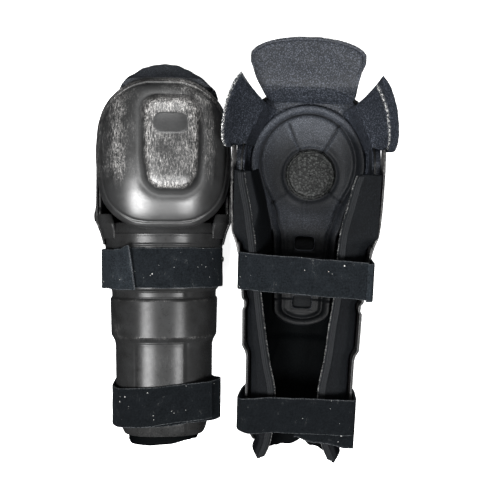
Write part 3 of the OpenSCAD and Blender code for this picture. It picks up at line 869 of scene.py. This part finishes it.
def knee_pad(g):
    y1 = spaced(144.01, 402.99, 240, 0.8)
    y = grid(y1, SIDE_SHARES)[0]
    x = SIDE_SHARES * pad_w(y)
    edge = from_outline(x, y, width_outline(y1, pad_w(y1)))
    deep = mix(0.66, 1, ramp(245, 285, y))
    roll = 3.4 + 5.6 * np.sqrt(np.maximum(1 - ((np.minimum(edge, 9) - 4.5) / 4.5) ** 2, 0))
    inside = 3.4 + 4.2 * ramp(9, 15, edge)
    thick = np.where(edge < 9, roll, inside)
    r, ang = np.hypot(x - DISC_X, y - DISC_Y), np.degrees(np.arctan2(y - DISC_Y, x - DISC_X))
    # painted shade in the grooves round the ring and round the disc, and along the cuts between the
    # segments below
    crease = 0.9 * bump(10.5, 1.7, edge) + 0.9 * bump(DISC_R + 1.2, 2, r)
    for at, near, far in ((66, 30, 66), (118, 30, 66), (322, 33, 58), (218, 31, 50)):
        off = r * np.sin(np.radians((ang - at + 180) % 360 - 180))
        ahead = np.cos(np.radians(ang - at)) > 0
        cut = bump(0, 1.3, off) * ahead * ramp(near - 4, near, r) * ramp(far + 5, far - 4, r)
        thick, crease = thick - 2.3 * cut, crease + 0.95 * cut
    thick = thick - 1.6 * bump(DISC_R + 1.8, 1.8, r) + 0.9 * bump(DISC_R + 6.5, 3, r)
    seam = bump(1 + 0.03 * (y - 250), 0.7, np.abs(x - 1)) * ramp(252, 258, y) * ramp(296, 290, y)
    thick = thick - 1.2 * seam
    slot = np.minimum(*[np.abs(y - place) for place in SLOTS_Y])
    around = np.maximum(np.abs(x) - 12, slot - 8.5)
    thick = thick + 0.8 * bump(2.5, 2.2, around) * ramp(268, 256, y)
    face = pad_surface(y, x)
    # Painted shade: inside the ring the segments darken towards the disc, and the side segments
    # more; the tongue darkens towards its end; one side darkens, except at the top; the grooves and
    # the seam darken.
    segment = 0.5 * ramp(64, 34, r) + 0.35 * ((ang < 60) | (ang > 124))
    painted_shade = np.maximum(0.985 * ramp(325, 225, y), segment * ramp(8, 13, edge))
    painted_shade = np.maximum(painted_shade, 0.85 * ramp(0, -50, x) * ramp(400, 360, y))
    painted_shade = np.clip(np.maximum(painted_shade, crease + 0.6 * seam), 0, 0.98)
    parts = [slab(xyz(x, y, face), xyz(x, y, face - thick * deep), 1.4)]
    obj = piece(g, "knee_pad", parts, PAD_SKIN, {"painted_shade": slab_mask(painted_shade, painted_shade)})
    cut_slots(g, obj)
    g.body("shin")
    g.body("cup")
    g.world((0, 256, 60))
    g.world((0, 290, 60))
    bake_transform(obj)
    stand_in(g, obj, "pad_foam", 0.7, "knee_pad", "pad_tongue")


def cut_slots(g, obj):
    """Two slots through the tongue, with rounded corners."""
    for place in SLOTS_Y:
        a = np.linspace(0, 2 * math.pi, 48, endpoint=False)
        c, s = np.cos(a), np.sin(a)
        x = 11.5 * np.sign(c) * np.abs(c) ** 0.4
        y = place + 8.2 * np.sign(s) * np.abs(s) ** 0.4
        low, high = [xyz(x, y, x * 0 + z) for z in (30, 100)]
        verts = np.concatenate([low, high])
        n = len(x)
        faces = [[i, (i + 1) % n, n + (i + 1) % n, n + i] for i in range(n)]
        faces += [list(range(n))[::-1], list(range(n, 2 * n))]
        mesh = bpy.data.meshes.new("slot_cutter")
        mesh.from_pydata(g.world(verts).tolist(), [], faces)
        cutter = bpy.data.objects.new("slot_cutter", mesh)
        bpy.context.scene.collection.objects.link(cutter)
        if np.linalg.det(g.axes) < 0:
            mesh.flip_normals()
        change = obj.modifiers.new("slot", "BOOLEAN")
        change.operation, change.solver, change.object = "DIFFERENCE", "EXACT", cutter
        bpy.context.view_layer.objects.active = obj
        bpy.ops.object.modifier_apply(modifier=change.name)
        bpy.data.objects.remove(cutter)


def knee_disc(g):
    radii = DISC_R * np.sin(np.linspace(0.002, math.pi / 2, 30))

    def face(r, a):
        x, y = DISC_X + r * np.cos(a), DISC_Y + r * np.sin(a)
        share = r / DISC_R
        crown = 2.6 * np.sqrt(np.maximum(1 - share**2, 0)) + 1.1 * bump(0.93, 0.06, share)
        crown = crown - 0.5 * bump(0.85, 0.03, share)
        return x, y, dome(y, x) - 21.2 - crown

    def back(r, a):
        x, y = DISC_X + r * np.cos(a), DISC_Y + r * np.sin(a)
        return x, y, dome(y, x) - 18.6

    front, turns = disc_grid(radii, 96, face), 96
    rear = disc_grid(radii, turns, back)
    m, n = len(radii), len(front[0])
    here = np.arange(turns) * m
    after = np.roll(here, -1)
    hub = xyz(here, after, n + after, n + here)
    verts = np.concatenate([front[0], rear[0]])
    faces = np.concatenate([front[1], rear[1] + n, hub + m - 1, hub])
    soft(g, "knee_disc", [(verts, faces)], DISC_SKIN, "cup", "grained_disc", 0.8)


def link_strap(g):
    y, x = grid(spaced(163, 249, 60), np.linspace(-11, 11, 17))
    z = over_section(y, x, SHELL_T + LINER_T + 1.4)
    ribs = 0.15 * np.sin(y * 5.2)
    parts = [slab(xyz(x, y, z), xyz(x, y, z - 1.6 + ribs), 0.5)]
    soft(g, "link_strap", parts, WEB, "shin", "webbing", None)


def thigh_flap(g):
    share = np.concatenate([np.linspace(-0.42, -0.02, 24), spaced(0, 1, 90, 0.6)])
    share, s = grid(share, SIDE_SHARES)
    folded = g.side == "left"
    x = s * curve(FLAP, share, 1)
    length = FLAP_LEN - (0 if folded else 5)
    along = share * length
    outline_y = spaced(0, 1, 90, 0.8)
    edge = from_outline(x, along, width_outline(outline_y * length, curve(FLAP, outline_y, 1)))
    edge = np.where(along < 12, np.minimum(edge + 12 - along, 8), edge)
    rim = 0.5 * bump(1.6, 1.1, edge) - 0.55 * bump(3.6, 0.8, edge)
    sag = -3 * (x / 66) ** 2 + 0.3 * ripple(x / 50, along / 40, 0.5) * ramp(5, 25, along)
    thin = mix(0.5, 1, ramp(0, 6, edge))
    rot = turn((1, 0, 0), -FLAP_FOLD[g.side])
    hinge = np.array([0, FLAP_HINGE_Y, FLAP_Z])
    grids = []
    for k in (1, -1):
        p = xyz(x, 2 + along, sag + k * (FLAP_T / 2 * thin + rim)) @ rot.T + hinge
        # inside the root it lies on the knee cup's lining
        y = FLAP_HINGE_Y + 2 + along
        sunk = 11.8 - 3 * ramp(-0.3, -0.42, share)
        rise = ramp(398, 430 if folded else 444, y)
        lining = xyz(x, y, mix(dome(y, x) - sunk, FLAP_Z - 2, rise) + k * 1.4)
        keep = (ramp(-0.03, 0.05, share) if folded else ramp(-0.1, 0.45, share))[..., None]
        p = mix(lining, p, keep)
        if folded:
            p[..., 0] = 5 + 0.88 * p[..., 0]
            out = curve(FOLDED_FLAP, p[..., 0], 1)
            rise = np.maximum(out, 0) + 7 + 1.2 * ripple(x / 45, along / 60, 2.0)
            swell = ramp(-0.05, 0.4, share) * mix(1, 0.5, ramp(0.6, 1, share))
            straight = (2 + along) * rot[1, 1] * keep[..., 0]
            p[..., 1] += ramp(-0.2, 0, share) * (np.minimum(out, 0) + rise * swell - straight)
            p[..., 2] -= 6 * (np.abs(x) / 58) ** 2
        else:
            p[..., 0] += 4.5 * ramp(-0.4, 0.2, share)
        grids.append(p)
    wear = 0.45 * ramp(1.2, 0.2, edge)
    skin = FLAP_BACK if folded else FLAP_SKIN
    obj = piece(g, "thigh_flap", [slab(*grids, 1.4)], skin, {"wear": slab_mask(wear, wear)})
    ahead = hinge + 14 * rot @ np.array([0, 1, 0])
    g.body("cup")
    g.body("flap")
    g.world(hinge)
    g.world(ahead)
    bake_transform(obj)
    stand_in(g, obj, "flap_leather", 0.4, "thigh_flap")


def wing(g, name, s):
    out = np.concatenate([np.linspace(-1, 0, 20)[:-1], spaced(0, 1, 60, 0.3)])
    share, t = grid(spaced(0, 1, 110, 0.3), out)
    root = WING_ROOT[0] + share[..., None] * (WING_ROOT[1] - WING_ROOT[0])
    free = xyz(*[curve(WING, share, c) for c in (1, 2, 3)])
    frayed = 0.5 * ripple(share * 14, share * 9, 1.0) * ramp(0.9, 1, t)
    middle = root + (free - root) * t[..., None]
    belly = 2.5 * np.sin(math.pi * np.clip(t, 0, 1))
    middle = middle + belly[..., None] * np.array([0.8, 0, 0.6])
    middle = middle + frayed[..., None] * np.array([0.6, 0, -0.8])
    edge = np.minimum((1 - t) * 30, np.minimum(share, 1 - share) * 60)
    half = WING_T / 2 * mix(0.45, 1, ramp(0, 5, edge)) + 0.25 * ripple(share * 2, t * 2, 2.0)
    across = half[..., None] * np.array([0.83, 0.03, 0.55])
    rot = turn(WING_ROOT[1] - WING_ROOT[0], WING_FOLD[g.side])
    # inside the root it lines the knee cup
    inside = np.clip(-t, 0, 1)
    lined = root + inside[..., None] * np.array([-14.0, -9.0, 0.0])
    deep = dome(lined[..., 1], lined[..., 0]) - mix(12.4, 9, ramp(0.6, 1, inside))
    lined[..., 2] = mix(root[..., 2], deep, np.minimum(inside * 1.7, 1) ** 0.8)
    grids = []
    for k in (1, -1):
        folded = (middle + k * across - WING_ROOT[0]) @ rot.T + WING_ROOT[0]
        lining = lined + k * np.array([0.9, 0, 0.9])
        grids.append(mix(lining, folded, ramp(-0.02, 0.08, t)[..., None]) * [s, 1, 1])
    worn = ramp(2.2, 0.4, edge) if s > 0 else bump(7, 0.8, (1 - t) * 26)
    worn = worn * ramp(0.05, 0.3, share) * ramp(1.05, 0.85, share) * ramp(0.5, 0.8, t)
    obj = piece(g, name, [slab(*grids, 1.2)], FLAP_SKIN, {"wear": slab_mask(worn, worn)})
    root_mid = WING_ROOT.mean(0)
    out = free[len(free) // 2, 0] - root_mid
    out = rot @ (out / np.linalg.norm(out))
    start, end = (root_mid + 0.5 * out) * [s, 1, 1], (root_mid + 13 * out) * [s, 1, 1]
    body = "inner_wing" if s > 0 else "outer_wing"
    g.body("cup")
    g.body(body)
    g.world(start)
    g.world(end)
    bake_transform(obj)
    stand_in(g, obj, "flap_leather", 0.3, name)


# ---- straps
def smooth_path(points, rounds=3, step=1.4):
    """Corner-cut and evenly spaced path through points in the X-Z plane."""
    p = np.array(points, float)
    for _ in range(rounds):
        near, far = 0.75 * p[:-1] + 0.25 * p[1:], 0.25 * p[:-1] + 0.75 * p[1:]
        cut = np.stack([near, far], 1).reshape(-1, 2)
        p = np.concatenate([p[:1], cut, p[-1:]])
    run = np.concatenate([[0], np.cumsum(np.linalg.norm(np.diff(p, axis=0), axis=1))])
    even = np.linspace(0, run[-1], max(int(run[-1] / step), 8))
    return xyz(*[np.interp(even, run, p[:, c]) for c in (0, 1)]), even


def ribbon(g, path, run, which, front, shape):
    """Band along a path: wider over the front, slanted there, and stood off by the shape."""
    tangent = np.gradient(path, axis=0)
    tangent /= np.linalg.norm(tangent, axis=1, keepdims=True)
    normal = xyz(-tangent[:, 1], tangent[:, 0])
    runs, k = grid(run, np.linspace(-0.5, 0.5, 49))
    lift, shift = shape(runs, k)
    x0, z0 = path[:, :1], path[:, 1:]
    front = front[:, None] * (g.side == "left")
    wide = mix(0.95, 1.03, front)
    if which == "upper":
        middle = mix(STRAP_Y[which] + 4.5 + 0.024 * x0, STRAP_Y[which] - 1, front)
    else:
        middle = mix(STRAP_Y[which] + 2 - 0.041 * x0, STRAP_Y[which] + LOWER_SLANT * x0, front)
        bulge = STRAP_BULGE[g.side] * ramp(24, 56, x0)
        lift = lift + (bulge * ramp(4, 40, z0) if g.side == "left" else bulge)
        wide = wide * (1 - 0.2 * ramp(54, 66, x0))
    y = middle + k * STRAP_W * wide + shift
    grids = []
    for side in (0.5, -0.5):
        d = STRAP_T * side + lift
        grids.append(xyz(x0 + normal[:, :1] * d, y, z0 + normal[:, 1:] * d))
    return grids, runs, k


def section_path(g, y, off, angles):
    points = [section(shin_dims(np.array(float(y)), 3), y, a, -off, g.spread) for a in angles]
    return [(p[0], p[2]) for p in points]


def rear_points(g, y):
    """Rear run's middle line, in the plane that the left guard stands on."""
    half = float(linear(SHIN, y, 1)) + g.spread
    rot = turn((0, 1, 0), -LEFT_ROLL)
    stops = (half - 1.5, half * 0.3, -half * 0.4, -half - 0.8)
    ends = [(x, 0, -REAR_DROP + STRAP_T / 2) for x in stops]
    return [tuple((rot @ np.array(p))[[0, 2]]) for p in ends]


def strap(g, which):
    """Fixed front run and rear run of a strap, as one band."""
    y = STRAP_Y[which]
    off = (1.0 if which == "lower" else 0.6) + STRAP_T / 2
    front = section_path(g, y, off, np.linspace(142 if which == "lower" else 139, 2, 40))
    rear = rear_points(g, y)
    corner = (front[-1][0] + 0.5, rear[0][1] + 4)
    path, run = smooth_path([*front, corner, *rear])
    seed = 1.0 if which == "upper" else 2.0

    def shape(r, k):
        wrinkle = ramp(run[-1] - 75, run[-1] - 15, r) * (1 if which == "upper" else 0.25)
        lift = 0.15 * ripple(r / 40, k * 1.3, seed)
        lift = lift - 0.55 * wrinkle * (1 + ripple(r / 8, k * 4, seed)) / 2
        return lift, 0.5 * ripple(r / 55, k * 0.3, seed + 4)

    turned = run[np.argmin(np.hypot(path[:, 0] - corner[0], path[:, 1] - corner[1]))]
    grids, r, k = ribbon(g, path, run, which, ramp(turned + 7, turned - 3, run), shape)
    parts, masks = [slab(*grids, 1.0)], [slab_mask(ramp(0.475, 0.5, np.abs(k)), 0 * k)]
    if which == "lower":
        # the strap's doubled-over start, showing below the rear run
        x, t = grid(np.linspace(3, -61 - g.spread, 50), np.linspace(0, 1, 30))
        low = 27 + 5 * ramp(-12, 3, x) - 4 * ramp(-20, -60, x) + 0.7 * ripple(x / 30, 0 * x, 3.0)
        z = np.interp(x, [rear[3][0], rear[0][0]], [rear[3][1], rear[0][1]]) + 2.9
        flat = xyz(x, mix(low, 66, t), z + 0.3 * ripple(x / 25, t * 2, 4.0))
        parts.append(slab(flat, flat + [0, 0, STRAP_T - 0.6], 0.8))
        masks.append(slab_mask(ramp(0.05, 0, t), 0 * t))
    wear = np.concatenate(masks)
    # the lower strap takes the darker felt copy, which is painted shade
    obj = piece(g, f"{which}_strap", parts, FELT if which == "upper" else PAINTED_SHADE_FELT, {"wear": wear})
    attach(obj, g.body("shin"))
    stand_in(g, obj, "elastic_strap", None, f"{which}_strap_front", f"{which}_strap_rear")


def strap_end(g, which):
    """Loose end of a strap, from its fold up the outer side and over the front run."""
    y = STRAP_Y[which]
    upper = which == "upper"
    off = 4.4 + STRAP_T / 2
    half = float(linear(SHIN, y, 1)) + g.spread
    points = [(-half + 1.5, -13.0), (-half - off + 1.2, -12.6), (-half - off, -7), (-half - off, 0)]
    points += section_path(g, y, off, np.linspace(177, 111.5 if upper else 44, 40))
    path, run = smooth_path(points)
    seed = 3.0 if upper else 5.0

    def shape(r, k):
        end = ramp(run[-1] - 16, run[-1], r)
        off_shell = 1.8 + 2 * ramp(0, 0.5, k) if upper else 0.3
        lift = 0.2 * ripple(r / 35, k * 1.3, seed) + off_shell * end
        shift = 0.6 * ripple(r / 50, k * 0.3, seed + 3) - (1.6 if upper else -0.6)
        if upper:
            shift = shift + 4 * ramp(0, 0.5, k) * end
        else:
            shift = shift + 3.0 * ramp(run[-1] * 0.35, run[-1], r) * (0.5 - k)
        return lift * ramp(0, 40, r), shift

    grids, r, k = ribbon(g, path, run, which, ramp(1, 9, run), shape)
    if upper:
        # the tab's end is cut at a slight angle
        for sheet in grids:
            sheet[..., 0] -= 6.3 * k * ramp(run[-1] - 30, run[-1], r)
    wear = ramp(0.475, 0.5, np.abs(k))
    if upper:
        wear = np.maximum(wear, ramp(run[-1] - 2, run[-1], r))
    # the lower strap's end takes the darker felt copy, which is painted shade; the upper tab takes
    # the paler felt
    name, skin = f"{which}_strap_end", PALE_FELT if upper else PAINTED_SHADE_FELT
    obj = piece(g, name, [slab(*grids, 1.0)], skin, {"wear": slab_mask(wear, 0 * k)})
    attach(obj, g.body(f"{which}_closure"))
    stand_in(g, obj, "elastic_strap", None, name)


def rivet(x0, x1, y, z, r, s):
    """Rivet along X between two faces, with low domed heads."""
    rows = [(0.02, x0), (r * 1.3, x0), (r * 1.5, x0 + 0.4), (r * 1.5, x0 + 0.8), (r * 0.97, x0 + 1),
            (r * 0.97, x1 - 1.6), (r * 1.6, x1 - 1.6), (r * 1.65, x1 - 1.1), (r * 1.3, x1 - 0.4),
            (r * 0.7, x1 - 0.05), (0.02, x1)]
    a, i = grid(np.linspace(0, 2 * math.pi, 40, endpoint=False), np.arange(len(rows)))
    rad, x = np.array([v[0] for v in rows])[i], np.array([v[1] for v in rows])[i]
    verts = xyz(s * x, y + rad * np.cos(a), z + rad * np.sin(a)).reshape(-1, 3)
    return verts, grid_faces(40, len(rows), wrap=True)


def rivets(g):
    pivot, straps = [], []
    for s in (1, -1):
        out = float(ear_x(np.array(float(PIVOT_Y)), np.array(float(PIVOT_Z)), g.spread)) + 1.1
        pivot.append(rivet(70.8, out + 1.5, PIVOT_Y, PIVOT_Z, 4, s))
    for which in ("upper", "lower"):
        y = STRAP_Y[which] + 8
        for a in (9.5, 17.5):
            p = section(shin_dims(np.array(float(y)), 3), y, a, 0, g.spread)
            straps.append(rivet(p[0] - 1.6, p[0] + 3.6, y, p[2], 2, 1))
    for name, parts, material in (("pivot_rivets", pivot, CUP), ("strap_rivets", straps, RIVET)):
        obj = piece(g, name, parts, material, {"wear": np.full(sum(len(p[0]) for p in parts), 0.4)})
        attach(obj, g.body("shin"))
        stand_in(g, obj, "rivet_metal", None, name)


def carried_over(g):
    """CAD pieces that stay as they are, with better materials."""
    for name in ("cap_rivets", "upper_hook_patch", "lower_hook_patch"):
        material = CUP if name == "cap_rivets" else HOOK
        node = frame["nodes"][g.body(name)]
        node.data.materials.clear()
        node.data.materials.append(material)


for side_name in ("left", "right"):
    guard = Guard(side_name)
    shin_shell(guard)
    knee_cap(guard)
    knee_cup(guard)
    shin_liner(guard)
    ankle_pad(guard)
    for pad_side, sign in (("inner", 1), ("outer", -1)):
        side_pad(guard, "side_pad_" + pad_side, sign)
        side_binding(guard, "side_binding_" + pad_side, sign)
        wing(guard, "wing_" + pad_side, sign)
    cup_liner(guard)
    knee_pad(guard)
    knee_disc(guard)
    link_strap(guard)
    thigh_flap(guard)
    for strap_name in ("upper", "lower"):
        strap(guard, strap_name)
        strap_end(guard, strap_name)
    rivets(guard)
    carried_over(guard)


# ---- floor, light and camera
def floor():
    mesh = bpy.data.meshes.new("floor")
    mesh.from_pydata([(-3, -3, 0), (3, -3, 0), (3, 3, 0), (-3, 3, 0)], [], [(0, 1, 2, 3)])
    look = Look("floor", Roughness=0.9)
    look.shader.inputs["Base Color"].default_value = (0.8, 0.8, 0.8, 1)
    look.shader.inputs["Emission Color"].default_value = (1, 1, 1, 1)
    look.shader.inputs["Emission Strength"].default_value = 0.9
    mesh.materials.append(look.material)
    obj = bpy.data.objects.new("floor", mesh)
    obj.location.z = -0.0005
    obj.visible_glossy = obj.visible_diffuse = False
    bpy.context.scene.collection.objects.link(obj)


def area_light(name, at, towards, size, power):
    light = bpy.data.lights.new(name, "AREA")
    light.shape, light.size, light.energy = "DISK", size, power
    obj = bpy.data.objects.new(name, light)
    obj.location = at
    obj.rotation_euler = (Vector(towards) - Vector(at)).to_track_quat("-Z", "Y").to_euler()
    bpy.context.scene.collection.objects.link(obj)


floor()
area_light("key", (-0.5, -0.5, 1.25), (-0.05, 0, 0), 0.52, 46)
area_light("fill", (0.46, -0.5, 1.2), (0, 0, 0), 0.34, 21)
area_light("top", (0.0, 0.95, 1.25), (0.05, 0.05, 0), 0.6, 14)
world = bpy.data.worlds.new("studio")
world.use_nodes = True
world.node_tree.nodes["Background"].inputs["Color"].default_value = (0.9, 0.95, 1, 1)
world.node_tree.nodes["Background"].inputs["Strength"].default_value = 0.045
bpy.context.scene.world = world
bpy.context.scene.view_settings.view_transform = "Standard"

camera_data = bpy.data.cameras.new("camera")
camera_data.sensor_width = 36
camera_data.lens = 18 / math.tan(math.radians(15.45))
camera = bpy.data.objects.new("camera", camera_data)
camera.location = (0.0135, 0.0007, 1.1)
bpy.context.scene.collection.objects.link(camera)
bpy.context.scene.camera = camera
